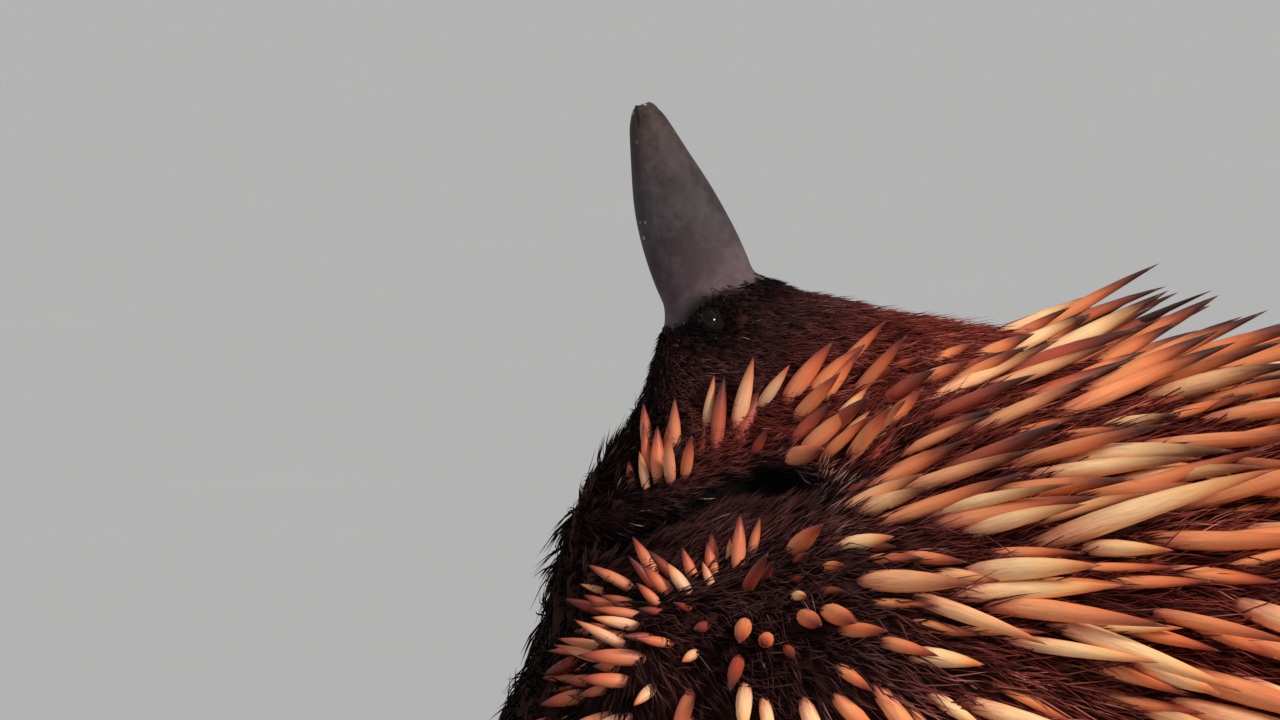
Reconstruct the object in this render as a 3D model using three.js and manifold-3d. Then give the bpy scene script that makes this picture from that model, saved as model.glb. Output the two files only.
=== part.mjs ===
// A short-beaked echidna, life size, standing on four feet with its head thrown back.
// Millimetres, +Z up, facing -Y. The origin is on the floor under the middle of the animal.
// Every solid reaches out to the tips of the fur and spines that grow on it.

import * as THREE from 'three';
import { LoftGeometry } from 'three/addons/geometries/LoftGeometry.js';
import { mergeVertices } from 'three/addons/utils/BufferGeometryUtils.js';
import Module from 'manifold-3d';

const wasm = await Module();
wasm.setup();

// Driving dimensions. While the body is laid out, y = 0 is at the base of the beak.

const GAP = 0.35;               // left between two pieces that meet

const BEAK_BASE = [0, 0, 168];  // centre of the bare beak where the fur begins
const BEAK_RISE = 41;           // how much higher its tip is
const BEAK_REACH = 15;          // how far its tip is in front of its base
const BEAK_ROOT = 1.5;          // length of beak buried in the fur of the face
const JAW_SHARE = 0.45;         // the lower jaw starts this share of the depth below the axis

const EYE_RADIUS = 3.8;
const EYE_AT = [10.4, 0.4, 162.6];
const EYE_OPENING = 4.2;        // radius of the gap in the face fur round the eye
const EYE_GAP_FLARE = 1.5;      // how much wider that gap is where the fur ends
const EYE_GAP_DEPTH = 16;

const EAR_RADIUS = 3.4;         // half the thickness of the two lips of the ear slit

const HEAD_RADIUS = 62;         // the head ends this far from the base of the beak
const NECK_RADIUS = 93;         // and the neck this far

const STRIDE = 7;               // a left foot stands this far ahead of the middle, a right one behind

const BLOCK = 400;              // edge of the blocks that cut a flat face
const MERGE_WITHIN = 1e-4;      // vertices nearer than this are one

// Stations of the trunk, from the chest to the rump: half width, back and belly height
const TRUNK = [
  { y: -53, wide: 22, top: 79, bottom: 52 },
  { y: -48, wide: 39, top: 90, bottom: 45 },
  { y: -37, wide: 54, top: 103, bottom: 38 },
  { y: -19, wide: 67, top: 116, bottom: 33 },
  { y: 2, wide: 79, top: 128, bottom: 30 },
  { y: 32, wide: 95, top: 146, bottom: 28 },
  { y: 70, wide: 106, top: 162, bottom: 27 },
  { y: 112, wide: 111, top: 169, bottom: 27 },
  { y: 152, wide: 109, top: 167, bottom: 28 },
  { y: 190, wide: 97, top: 155, bottom: 31 },
  { y: 222, wide: 76, top: 132, bottom: 36 },
  { y: 243, wide: 51, top: 108, bottom: 43 },
  { y: 253, wide: 28, top: 88, bottom: 52 },
];
const WIDEST = 0.36;            // the trunk is widest at this share of its height
const TRUNK_DOME = 3;           // the chest and the rump are rounded off by this much

// Stations of the head, from the base of the beak down through the throat into the chest
const HEAD = [
  { at: [0, 1, 168], wide: 13, up: 17, down: 11.5 },
  { at: [0, 3, 157], wide: 21.5, up: 28, down: 17.5 },
  { at: [0, 5, 145], wide: 28.5, up: 30, down: 23 },
  { at: [0, 6, 130], wide: 35, up: 34, down: 33 },
  { at: [0, 5, 112], wide: 45, up: 38, down: 40 },
  { at: [0, 4, 92], wide: 52, up: 40, down: 44 },
];

// Stations of the nape, from the crown back to the shoulders
const NAPE = [
  { at: [0, 7, 147], wide: 27, up: 30, down: 18 },
  { at: [0, 22, 134], wide: 38, up: 37.5, down: 26 },
  { at: [0, 44, 122], wide: 55, up: 44.5, down: 40 },
  { at: [0, 74, 114], wide: 72, up: 48, down: 50 },
];

// How thick the beak is at shares of its length from base to tip
const BEAK = [
  { share: 0, wide: 8.6, up: 10.3, down: 10.3 },
  { share: 0.25, wide: 7.8, up: 10.8, down: 9.4 },
  { share: 0.5, wide: 6.8, up: 9.6, down: 7.8 },
  { share: 0.75, wide: 5.4, up: 6.6, down: 5.3 },
  { share: 0.95, wide: 4.0, up: 3.7, down: 3.4 },
];
const BEAK_SAG = 1.6;           // the beak bows this far below the line from base to tip
const BEAK_DOME = 2.6;

// A tail is a stub under the rump
const TAIL = [
  { at: [0, 222, 62], wide: 22, up: 20, down: 18 },
  { at: [0, 240, 53], wide: 16, up: 15, down: 14 },
  { at: [0, 251, 46], wide: 9, up: 8, down: 8 },
];

// Stations of the limbs of the left side. The right side mirrors them.
const FORE_LEG = [
  { at: [46, 6, 76], wide: 26, up: 28, down: 28 },
  { at: [60, 8, 52], wide: 22, up: 24, down: 24 },
  { at: [63, -4, 30], wide: 18, up: 18, down: 18 },
  { at: [63, -10, 14], wide: 16.5, up: 15, down: 16 },
];
const HIND_LEG = [
  { at: [56, 176, 79], wide: 34, up: 34, down: 32 },
  { at: [68, 168, 54], wide: 27, up: 28, down: 26 },
  { at: [68, 174, 30], wide: 19.5, up: 19, down: 18 },
  { at: [67, 177, 14], wide: 17, up: 16, down: 16 },
];

// A foot runs from heel to toes along its heading, an angle in the floor plane from -Y
// towards its own side
const FORE_FOOT = { heel: [64, -2], heading: -4, length: 34, wide: 18.5, high: 17 };
const HIND_FOOT = { heel: [60, 169], heading: 132, length: 36, wide: 17, high: 16 };

// The claws of a foot, from the inner toe to the outer one. place is a share of half the width
// of the foot, and spread is the angle that the claw turns away from the foot's heading.
const FORE_CLAWS = [
  { place: -0.78, spread: -17, length: 15, wide: 2.6 },
  { place: -0.4, spread: -8, length: 20, wide: 3.0 },
  { place: 0, spread: 0, length: 22, wide: 3.2 },
  { place: 0.4, spread: 8, length: 20, wide: 3.0 },
  { place: 0.78, spread: 17, length: 14, wide: 2.5 },
];
const HIND_CLAWS = [
  { place: -0.86, spread: -26, length: 8, wide: 2.2 },
  { place: -0.43, spread: -12, length: 33, wide: 2.7 },
  { place: 0, spread: 0, length: 24, wide: 2.7 },
  { place: 0.42, spread: 10, length: 15, wide: 2.5 },
  { place: 0.82, spread: 22, length: 11, wide: 2.2 },
];
const TOE_REACH = 2;            // the middle toe ends this far past the length of the foot
const TOE_ARC = 9;              // and the outermost toes this much behind it
const CLAW_ROOT = 5;            // length of a claw held in the toe
const CLAW_HEIGHT = 6.2;        // height of its root over the floor

const DOME_END = 0.86;          // share of a quarter turn at which a dome is cut flat
const BODY_SIDES = 28;
const LIMB_SIDES = 12;
const CLAW_SIDES = 6;
const EYE_SIDES = 12;

// Helpers for solids

function solidOf(geometry) {
  const bare = new THREE.BufferGeometry().copy(geometry);
  bare.deleteAttribute('normal');
  bare.deleteAttribute('uv');
  const merged = mergeVertices(bare, MERGE_WITHIN);
  return new wasm.Manifold(new wasm.Mesh({
    numProp: 3,
    vertProperties: new Float32Array(merged.getAttribute('position').array),
    triVerts: new Uint32Array(merged.getIndex().array),
  }));
}

function geometryOf(solid) {
  const mesh = solid.getMesh();
  const geometry = new THREE.BufferGeometry();
  geometry.setAttribute('position', new THREE.BufferAttribute(new Float32Array(mesh.vertProperties), 3));
  geometry.setIndex(new THREE.BufferAttribute(new Uint32Array(mesh.triVerts), 1));
  geometry.computeVertexNormals();
  return geometry;
}

const signedPower = (value, power) => Math.sign(value) * Math.abs(value) ** power;

// Sweeps a rounded section along the stations. up and down are measured square to the path,
// and dome lengths round off the first and the last section. grow swells the whole body.
function sweep(stations, options = {}) {
  const { grow = 0, sides = LIMB_SIDES, steps = 3, domeStart = 0, domeEnd = 0, square = 2 } = options;
  const acrossHint = options.across ?? new THREE.Vector3(1, 0, 0);
  const domeSteps = options.domeSteps ?? 3;
  const path = new THREE.CatmullRomCurve3(stations.map((s) => new THREE.Vector3(...s.at)));
  const reach = new THREE.CatmullRomCurve3(
    stations.map((s) => new THREE.Vector3(s.wide, s.up, s.down)),
  );

  const ringAt = (t, beyond, shrink) => {
    const tangent = path.getTangent(t);
    const across = acrossHint.clone().addScaledVector(tangent, -acrossHint.dot(tangent)).normalize();
    const upward = new THREE.Vector3().crossVectors(across, tangent);
    const centre = path.getPoint(t).addScaledVector(tangent, beyond);
    const size = reach.getPoint(t);
    const ring = [];
    for (let i = 0; i < sides; i += 1) {
      const angle = -2 * Math.PI * (i / sides);
      const c = signedPower(Math.cos(angle), 2 / square);
      const s = signedPower(Math.sin(angle), 2 / square);
      const height = s > 0 ? size.y : size.z;
      ring.push(centre.clone()
        .addScaledVector(across, c * (size.x + grow) * shrink)
        .addScaledVector(upward, s * (height + grow) * shrink));
    }
    return ring;
  };

  const rings = [];
  const lastAngle = DOME_END * Math.PI / 2;
  for (let k = domeSteps; k > 0 && domeStart > 0; k -= 1) {
    const angle = lastAngle * (k / domeSteps);
    rings.push(ringAt(0, -(domeStart + grow) * Math.sin(angle), Math.cos(angle)));
  }
  const count = (stations.length - 1) * steps;
  for (let k = 0; k <= count; k += 1) {
    const t = k / count;
    const flatEnd = (k === 0 && domeStart === 0) || (k === count && domeEnd === 0);
    const beyond = flatEnd ? grow * Math.sign(t - 0.5) : 0;
    rings.push(ringAt(t, beyond, 1));
  }
  for (let k = 1; k <= domeSteps && domeEnd > 0; k += 1) {
    const angle = lastAngle * (k / domeSteps);
    rings.push(ringAt(1, (domeEnd + grow) * Math.sin(angle), Math.cos(angle)));
  }
  return solidOf(new LoftGeometry(rings, { capStart: true, capEnd: true }));
}

function ball(radius, at, widthSegments = 24, heightSegments = 14) {
  const geometry = new THREE.SphereGeometry(radius, widthSegments, heightSegments);
  return solidOf(geometry.translate(...at));
}

// The space below the floor, which leaves the soles flat
function belowFloor() {
  const geometry = new THREE.BoxGeometry(2 * BLOCK, 2 * BLOCK, BLOCK);
  return solidOf(geometry.translate(0, BLOCK / 2, -BLOCK / 2));
}

const mirrored = (stations, side) => stations.map((s) => (
  { ...s, at: [side * s.at[0], s.at[1], s.at[2]] }
));

const shifted = (stations, dy) => stations.map((s, i) => {
  const share = i / (stations.length - 1);
  return { ...s, at: [s.at[0], s.at[1] + dy * share, s.at[2]] };
});

// Body

function trunkBody(grow) {
  const stations = TRUNK.map(({ y, wide, top, bottom }) => {
    const middle = bottom + WIDEST * (top - bottom);
    return { at: [0, y, middle], wide, up: top - middle, down: middle - bottom };
  });
  return sweep(stations, {
    grow, sides: BODY_SIDES, steps: 1, domeStart: TRUNK_DOME, domeEnd: TRUNK_DOME, square: 2.2,
    domeSteps: 1,
  });
}

function headBody(grow) {
  return sweep(HEAD, { grow, sides: BODY_SIDES, steps: 2, domeStart: 4, domeEnd: 8, domeSteps: 1 });
}

function napeBody(grow) {
  return sweep(NAPE, { grow, sides: BODY_SIDES, steps: 1, domeStart: 10, domeEnd: 8, domeSteps: 1 });
}

const wholeBody = (grow) => trunkBody(grow).add(headBody(grow)).add(napeBody(grow));

// Beak and lower jaw

function beakStations() {
  const [x, y, z] = BEAK_BASE;
  const along = new THREE.Vector3(0, -BEAK_REACH, BEAK_RISE);
  const length = along.length();
  const downward = new THREE.Vector3(0, -BEAK_RISE, -BEAK_REACH).divideScalar(length);
  const stations = BEAK.map(({ share, wide, up, down }) => {
    const sag = BEAK_SAG * Math.sin(Math.PI * share);
    const at = new THREE.Vector3(x, y, z).addScaledVector(along, share).addScaledVector(downward, sag);
    return { at: at.toArray(), wide, up: down, down: up };
  });
  const rootAt = new THREE.Vector3(x, y, z).addScaledVector(along, -BEAK_ROOT / length);
  const { wide, up, down } = BEAK[0];
  return [{ at: rootAt.toArray(), wide, up: down, down: up }, ...stations];
}

function beakBody(grow) {
  return sweep(beakStations(), { grow, sides: 16, steps: 2, domeEnd: BEAK_DOME, domeSteps: 2 });
}

// The space of the lower jaw: a block whose top face runs along the beak below its axis
function jawSpace(lowered) {
  const pitch = Math.atan2(BEAK_RISE, BEAK_REACH);
  const geometry = new THREE.BoxGeometry(BLOCK, BLOCK, BLOCK);
  geometry.translate(0, 0, -BLOCK / 2 - lowered);
  geometry.rotateX(-pitch);
  return solidOf(geometry.translate(...BEAK_BASE));
}

// Eyes and ears

const eyeAt = (side) => [side * EYE_AT[0], EYE_AT[1], EYE_AT[2]];

function eyeSocket(side) {
  const socket = new THREE.CylinderGeometry(
    EYE_OPENING * EYE_GAP_FLARE, EYE_OPENING, EYE_GAP_DEPTH, EYE_SIDES,
  );
  socket.rotateZ(-side * Math.PI / 2);
  socket.translate(side * (EYE_AT[0] + EYE_GAP_DEPTH / 2), EYE_AT[1], EYE_AT[2]);
  return ball(EYE_RADIUS + GAP, eyeAt(side), EYE_SIDES, 8).add(solidOf(socket));
}

// The ear is a slit between two lips, low on the side of the head behind the eye
function earBody(side, grow) {
  const lips = [
    { at: [30, -16, 119.5], wide: 3, up: 3, down: 3 },
    { at: [35.5, -5, 124.5], wide: EAR_RADIUS, up: EAR_RADIUS, down: EAR_RADIUS },
    { at: [38, 7, 129.5], wide: EAR_RADIUS, up: EAR_RADIUS, down: EAR_RADIUS },
    { at: [38, 18, 131.5], wide: 3, up: 3, down: 3 },
  ];
  return sweep(mirrored(lips, side), { grow, sides: 8, steps: 1, domeStart: 3, domeEnd: 3, domeSteps: 1 });
}

// Legs, feet and claws

function headingVector(side, degrees) {
  const angle = THREE.MathUtils.degToRad(degrees);
  return new THREE.Vector3(side * Math.sin(angle), -Math.cos(angle), 0);
}

function footPlan(foot, side, dy) {
  const forward = headingVector(side, foot.heading);
  const heel = new THREE.Vector3(side * foot.heel[0], foot.heel[1] + dy, 0);
  const across = new THREE.Vector3(-forward.y, forward.x, 0);
  return { forward, heel, across, outward: across.clone().multiplyScalar(side) };
}

function footBody(foot, side, dy, grow) {
  const { forward, heel, across } = footPlan(foot, side, dy);
  const shape = [
    { share: 0, wide: 0.72, high: 0.95 },
    { share: 0.35, wide: 0.9, high: 1 },
    { share: 0.7, wide: 1, high: 0.78 },
    { share: 1, wide: 0.9, high: 0.6 },
  ];
  const stations = shape.map(({ share, wide, high }) => {
    const middle = foot.high * 0.4 * high;
    const at = heel.clone().addScaledVector(forward, share * foot.length).setZ(middle);
    return {
      at: at.toArray(), wide: foot.wide * wide, up: foot.high * high - middle, down: middle + 1.5,
    };
  });
  const body = sweep(stations, {
    grow, sides: LIMB_SIDES, steps: 1, domeStart: 9, domeEnd: 6, domeSteps: 2, square: 2.4, across,
  });
  return grow > 0 ? body : body.subtract(belowFloor());
}

function clawBody(foot, claw, side, dy, grow) {
  const { forward, heel, outward } = footPlan(foot, side, dy);
  const heading = headingVector(side, foot.heading + claw.spread);
  const across = new THREE.Vector3(-heading.y, heading.x, 0);
  const edge = heel.clone()
    .addScaledVector(forward, foot.length + TOE_REACH - TOE_ARC * claw.place ** 2)
    .addScaledVector(outward, claw.place * foot.wide);
  const stations = [-CLAW_ROOT, claw.length * 0.35, claw.length * 0.7, claw.length].map((s, i) => {
    const share = Math.max(0, s / claw.length);
    const drop = share ** 2 * (CLAW_HEIGHT - 2.4);
    const at = edge.clone().addScaledVector(heading, s).setZ(CLAW_HEIGHT - drop);
    const taper = [1, 1, 0.82, 0.45][i];
    return { at: at.toArray(), wide: claw.wide * taper, up: 1.9 * taper, down: 1.5 * taper };
  });
  return sweep(stations, { grow, sides: CLAW_SIDES, steps: 1, domeEnd: 1.4, domeSteps: 1, across });
}

function legBody(stations, side, dy, grow) {
  return sweep(shifted(mirrored(stations, side), dy), {
    grow, sides: LIMB_SIDES, steps: 2, domeStart: 8, domeEnd: 6, domeSteps: 1,
  });
}

// Materials

const materialOf = (color, roughness) => new THREE.MeshStandardMaterial({
  color, roughness, metalness: 0,
});
const SPINES = () => materialOf('#b0643a', 0.6);
const FUR = () => materialOf('#4a2a20', 0.95);
const BARE_SKIN = () => materialOf('#5e5458', 0.6);
const HORN = () => materialOf('#4b4038', 0.45);
const EYE = () => materialOf('#08080b', 0.08);

const animal = new THREE.Group();

function place(name, solid, material) {
  const mesh = new THREE.Mesh(geometryOf(solid), material);
  mesh.name = name;
  animal.add(mesh);
}

// Assembly

const SIDES = [['left', 1], ['right', -1]];
const body = wholeBody(0);
const grownBody = wholeBody(GAP);
const grownBeak = beakBody(GAP);

let face = body.intersect(ball(HEAD_RADIUS, BEAK_BASE)).subtract(grownBeak);
let neck = body.intersect(ball(NECK_RADIUS, BEAK_BASE)).subtract(ball(HEAD_RADIUS + GAP, BEAK_BASE));
for (const [, side] of SIDES) {
  face = face.subtract(eyeSocket(side)).subtract(earBody(side, GAP));
  neck = neck.subtract(earBody(side, GAP));
}
place('trunk', body.subtract(ball(NECK_RADIUS + GAP, BEAK_BASE)), SPINES());
place('neck', neck, SPINES());
place('head', face, FUR());

const beak = beakBody(0);
const jawDepth = BEAK[2].down * JAW_SHARE;
place('beak', beak.subtract(jawSpace(jawDepth)), BARE_SKIN());
place('lower_jaw', beak.intersect(jawSpace(jawDepth + GAP)), BARE_SKIN());

const tail = sweep(TAIL, { sides: LIMB_SIDES, steps: 2, domeStart: 6, domeEnd: 5 });
place('tail', tail.subtract(grownBody), SPINES());

for (const [word, side] of SIDES) {
  place(`eye_${word}`, ball(EYE_RADIUS, eyeAt(side), EYE_SIDES, 8), EYE());
  place(`ear_${word}`, earBody(side, 0), BARE_SKIN());

  const limbs = [
    { name: 'fore', leg: FORE_LEG, foot: FORE_FOOT, claws: FORE_CLAWS, dy: -side * STRIDE },
    { name: 'hind', leg: HIND_LEG, foot: HIND_FOOT, claws: HIND_CLAWS, dy: side * STRIDE },
  ];
  for (const { name, leg, foot, claws, dy } of limbs) {
    let paw = footBody(foot, side, dy, 0);
    claws.forEach((claw, i) => {
      const horn = clawBody(foot, claw, side, dy, 0);
      paw = paw.subtract(clawBody(foot, claw, side, dy, GAP));
      place(`${name}_claw_${word}_${i + 1}`, horn, HORN());
    });
    place(`${name}_foot_${word}`, paw, FUR());
    const limb = legBody(leg, side, dy, 0).subtract(grownBody).subtract(footBody(foot, side, dy, GAP));
    place(`${name}_leg_${word}`, limb, FUR());
  }
}

// The origin goes under the middle of the animal, on the floor
const extent = new THREE.Box3().setFromObject(animal);
animal.position.set(0, -(extent.min.y + extent.max.y) / 2, 0);

export default animal;
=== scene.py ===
# A short-beaked echidna, life size, standing on a pale floor with its head thrown back.
# Lengths are millimetres, and y = 0 is at the base of the beak, until to_frame() moves them.

import math
from types import SimpleNamespace

import bmesh
import bpy
import numpy as np
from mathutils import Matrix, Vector
from mathutils.kdtree import KDTree


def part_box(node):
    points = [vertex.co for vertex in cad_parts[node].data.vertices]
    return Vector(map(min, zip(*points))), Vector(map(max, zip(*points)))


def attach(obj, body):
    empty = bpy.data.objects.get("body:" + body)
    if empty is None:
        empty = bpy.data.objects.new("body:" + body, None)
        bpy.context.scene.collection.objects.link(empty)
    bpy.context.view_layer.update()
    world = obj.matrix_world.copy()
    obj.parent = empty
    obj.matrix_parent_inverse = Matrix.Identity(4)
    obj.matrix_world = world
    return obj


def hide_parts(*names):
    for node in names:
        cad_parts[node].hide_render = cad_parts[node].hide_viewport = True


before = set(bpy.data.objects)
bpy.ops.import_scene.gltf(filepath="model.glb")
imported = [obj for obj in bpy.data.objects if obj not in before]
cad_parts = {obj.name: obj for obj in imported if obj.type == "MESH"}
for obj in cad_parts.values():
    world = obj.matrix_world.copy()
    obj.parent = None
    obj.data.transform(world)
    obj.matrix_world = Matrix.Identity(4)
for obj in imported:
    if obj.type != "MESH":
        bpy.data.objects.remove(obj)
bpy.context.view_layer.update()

# Driving dimensions

MM = 0.001
SIDES = (("left", 1), ("right", -1))

BEAK_BASE = np.array([0.0, 0.0, 168.0])
BEAK_ALONG = np.array([0.0, -15.0, 41.0])  # from the base of the beak to its tip
BEAK_LENGTH = float(np.linalg.norm(BEAK_ALONG))
BEAK_AXIS = BEAK_ALONG / BEAK_LENGTH
BEAK_VENTRAL = np.cross([1.0, 0.0, 0.0], BEAK_AXIS)
# Share of the beak's length, then its half width and its reach above and below the axis
BEAK = (
    (0, 8.6, 10.3, 10.3), (0.25, 7.8, 10.8, 9.4), (0.5, 6.8, 9.6, 7.8), (0.75, 5.4, 6.6, 5.3),
    (0.95, 4.0, 3.7, 3.4),
)
BEAK_SAG = 1.6
BEAK_DOME = 2.6
BEAK_ROUNDED = 5.5  # length over which the tip is rounded off
BARE_BELOW = 0.08  # how much lower the fur ends under the beak, as a share of it
NOSTRIL_AT = 0.915  # share of the beak's length

EYE_AT = np.array([10.4, 0.4, 162.6])
EYE_AXIS = np.array([0.86, -0.06, 0.5])
EYE_RADIUS = 3.7
EYE_OPENING = (2.35, 1.85)  # half length and half height of the gap between the lids
CORNEA = 0.06  # how far the front of the eye bulges, as a share of its radius
LID_THICKNESS = 0.5
LID_REACH = EYE_RADIUS + 2.6
LID_RIM = 0.95  # where the lids end, as a share of the opening

SLIT = ((-31.0, 113.0), (-20.0, 118.0), (-9.0, 122.5), (1.0, 127.0), (11.0, 130.5), (22.0, 131.0))
SLIT_DEPTH = 7.0
SLIT_HALF_WIDTH = 3.3
SLIT_END = (24.0, 131.0)  # y and z of its rear end, where pale bristles grow
SLIT_SIDE = 14  # the slit is only on skin farther out than this
SLIT_POINTS = 41

VOXEL = 1.8  # grain of the skin before it is refined on the head
EVENING = 0.4  # how strongly the refined skin is evened out

WHORL = np.array([65.0, 12.0, 104.0])  # the spines of the shoulder point away from here
WHORL_REACH = 20.0

# How the spines grow in side view: y, z, degrees above straight back, and length
SPINE_FIELD = (
    (-12, 129, 97, 12), (-7, 137, 95, 14), (-4, 133, 80, 14), (3, 141, 78, 18), (15, 147, 62, 17),
    (16, 139, 36, 16), (21, 151, 42, 18), (28, 147, 50, 18), (31, 136, 50, 18), (39, 155, 17, 20),
    (46, 149, 24, 30), (72, 158, 27, 34), (40, 128, 13, 46), (70, 127, 9, 54), (93, 131, 8, 54),
    (29, 118, 20, 20), (40, 111, -12, 38), (70, 99, -10, 50), (94, 95, -10, 50), (25, 106, 0, 18),
    (12, 115, 80, 12), (2, 113, 95, 11), (-8, 111, 125, 10), (0, 104, 172, 15), (-12, 104, 168, 12),
    (-28, 89, 190, 12), (-37, 80, 195, 14), (4, 92, -88, 19), (14, 94, -76, 27), (31, 88, -42, 32),
    (12, 103, -80, 24),
    (68, 86, -20, 42), (12, 60, -88, 24), (60, 60, -34, 34), (-30, 66, 235, 15), (110, 62, -20, 38),
    (150, 150, 16, 54), (150, 105, 0, 54), (160, 62, -18, 38), (190, 120, 2, 44),
)
FIELD_BLUR = 30  # square millimetres over which the field is evened out
RUMP_DROOP = np.array([0.0, 0.0, -0.7])

# Skin of the trunk: place along the body, half width, height of the back and of the belly
TRUNK = (
    (-47, 20, 76, 56), (-42, 34, 84, 49.5), (-32, 48, 95, 43), (-16, 59, 107, 38),
    (2, 67, 118, 35), (32, 78, 134, 33.5), (70, 86, 147, 33), (112, 90, 152, 33),
    (152, 88, 149, 34), (186, 78, 137, 37), (212, 59, 117, 42), (228, 37, 98, 49), (234, 20, 84, 57),
)
WIDEST = 0.38

# Skin of the other parts: x, y, z of the middle, then half width, up and down
HEAD = (
    (0, 1, 168, 11.2, 15.0, 10.4), (0, 3, 157, 18.8, 25.0, 15.6), (0, 5, 145, 25, 28, 20.8),
    (0, 6, 130, 31, 31, 30.6), (0, 5, 112, 40, 35, 36.6), (0, 4, 92, 46, 37, 40.5),
)
NAPE = (
    (0, 7, 146, 24, 28, 16), (0, 22, 134, 34, 35.2, 24), (0, 44, 121, 48, 42.2, 38),
    (0, 74, 109, 61, 44, 46),
)
SHOULDER = ((40, 6, 88, 24, 26, 26), (48, 6, 88, 24, 26, 26))
TAIL = ((0, 216, 62, 17, 15, 14), (0, 234, 54, 11, 10, 9), (0, 243, 48, 6, 5.5, 5.5))

# Limbs. A foot runs from heel to toes along its heading, an angle from -Y towards its own side.
# Claws, from the inner toe to the outer one: place across the foot, spread, length, half width.
FORE = {
    "name": "fore", "stride": -7.0, "heel": (64, -2), "heading": -4, "length": 34, "wide": 16.5,
    "high": 15, "claw_row": 18.5,
    "leg": ((46, 6, 76, 20, 22, 22), (60, 8, 52, 17, 19, 19), (63, -4, 30, 14.5, 14.5, 14.5),
            (63, -10, 14, 14, 12.5, 13.5)),
    "claws": ((-0.78, -17, 15, 2.6), (-0.4, -8, 20, 3.0), (0, 0, 22, 3.2), (0.4, 8, 20, 3.0),
              (0.78, 17, 14, 2.5)),
}
HIND = {
    "name": "hind", "stride": 7.0, "heel": (60, 169), "heading": 132, "length": 36, "wide": 15.5,
    "high": 14, "claw_row": 17.0,
    "leg": ((56, 176, 79, 26, 26, 25), (68, 168, 54, 21, 22, 20), (68, 174, 30, 16, 15.5, 15),
            (67, 177, 14, 14.5, 13.5, 13.5)),
    "claws": ((-0.86, -26, 8, 2.2), (-0.43, -12, 33, 2.7), (0, 0, 24, 2.7), (0.42, 10, 15, 2.5),
              (0.82, 22, 11, 2.2)),
}
LIMBS = [SimpleNamespace(**kind, word=word, side=side, dy=side * kind["stride"])
         for word, side in SIDES for kind in (FORE, HIND)]
TOE_REACH = 2.0
TOE_ARC = 9.0
CLAW_ROOT = 5.0
CLAW_HEIGHT = 6.2
CLAW_DROP = 4.0  # how much lower the tip of a claw is than its root
CLAW_END = 1.06  # share of its length at which a claw is closed
CLAW_SIDES = 14

# Camera, as the photograph was taken
IMAGE_SIZE = (1280, 720)
BEAK_BASE_PIXEL = (712, 297)
PIXELS_PER_MM = 4.7
VIEW_AZIMUTH = 95.0
VIEW_ELEVATION = 3.0
CAMERA_DISTANCE = 1900.0
SENSOR_WIDTH = 36.0

rng = np.random.default_rng(7)


# Helpers for arrays of points

def unit(v):
    return v / np.maximum(np.linalg.norm(v, axis=-1, keepdims=True), 1e-9)


def dot(a, b):
    return (a * b).sum(-1, keepdims=True)


def ease(x, low, high):
    """0 below low and 1 above high, with a smooth rise between."""
    t = np.clip((x - low) / (high - low), 0, 1)
    return t * t * (3 - 2 * t)


def fade(x, low, high):
    return 1 - ease(x, low, high)


def mixed(a, b, share):
    return a + (b - a) * share


def hill(x, width):
    """1 at zero, falling off smoothly on both sides."""
    return np.exp(-(x / width) ** 2)


def on_left(p):
    """The same points with those of the right side brought over to the left."""
    return np.column_stack([np.abs(p[:, 0]), p[:, 1:]])


def circle(sides, way=1):
    """Cosines and sines of even steps round a circle."""
    angle = way * 2 * np.pi * np.arange(sides) / sides
    return np.cos(angle), np.sin(angle)


eye_low, eye_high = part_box("eye_left")
SHIFT_Y = (eye_low.y + eye_high.y) / 2 / MM - EYE_AT[1]


def to_frame(p):
    return (np.asarray(p, float) + (0, SHIFT_Y, 0)) * MM


def spline(points, t):
    """Points of a smooth curve through the given points, at t from 0 to 1."""
    p = np.asarray(points, float)
    p = np.vstack([2 * p[0] - p[1], p, 2 * p[-1] - p[-2]])
    x = np.asarray(t, float) * (len(points) - 1)
    i = np.clip(x.astype(int), 0, len(points) - 2)
    f = (x - i)[:, None]
    a, b, c, d = p[i], p[i + 1], p[i + 2], p[i + 3]
    return 0.5 * (2 * b + (c - a) * f + (2 * a - 5 * b + 4 * c - d) * f ** 2
                  + (3 * b - a - 3 * c + d) * f ** 3)


# Meshes from arrays

def new_object(name, data):
    obj = bpy.data.objects.new(name, data)
    bpy.context.scene.collection.objects.link(obj)
    return obj


def mesh_object(name, verts, tris):
    mesh = bpy.data.meshes.new(name)
    mesh.from_pydata(to_frame(verts).tolist(), [], tris.tolist(), shade_flat=False)
    return new_object(name, mesh)


def add_layer(obj, name, values):
    """Keeps a number for each point, or a vector where three numbers are given."""
    values = np.asarray(values, np.float32).ravel()
    single = len(values) == len(obj.data.vertices)
    layer = obj.data.attributes.new(name, "FLOAT" if single else "FLOAT_VECTOR", "POINT")
    layer.data.foreach_set("value" if single else "vector", values)


def finish_piece(obj, material, slot, *nodes):
    obj.data.materials.append(material)
    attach(obj, "root")
    if nodes:
        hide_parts(*nodes)


def ring_quads(rings, sides):
    """Corners of the faces between the rings of a tube."""
    i, j = np.divmod(np.arange((rings - 1) * sides), sides)
    a, b = i * sides + j, i * sides + (j + 1) % sides
    return np.stack([a, b, b + sides, a + sides], -1)


def tube_faces(rings, sides):
    """Triangles of one closed tube: rings of points, then a single point at the tip."""
    last = (rings - 1) * sides
    walls = ring_quads(rings, sides)[:, [0, 1, 2, 0, 2, 3]].reshape(-1, 3)
    tip = [(last + j, last + (j + 1) % sides, rings * sides) for j in range(sides)]
    return np.vstack([walls, tip, [(0, j + 1, j) for j in range(1, sides - 1)]])


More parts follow.
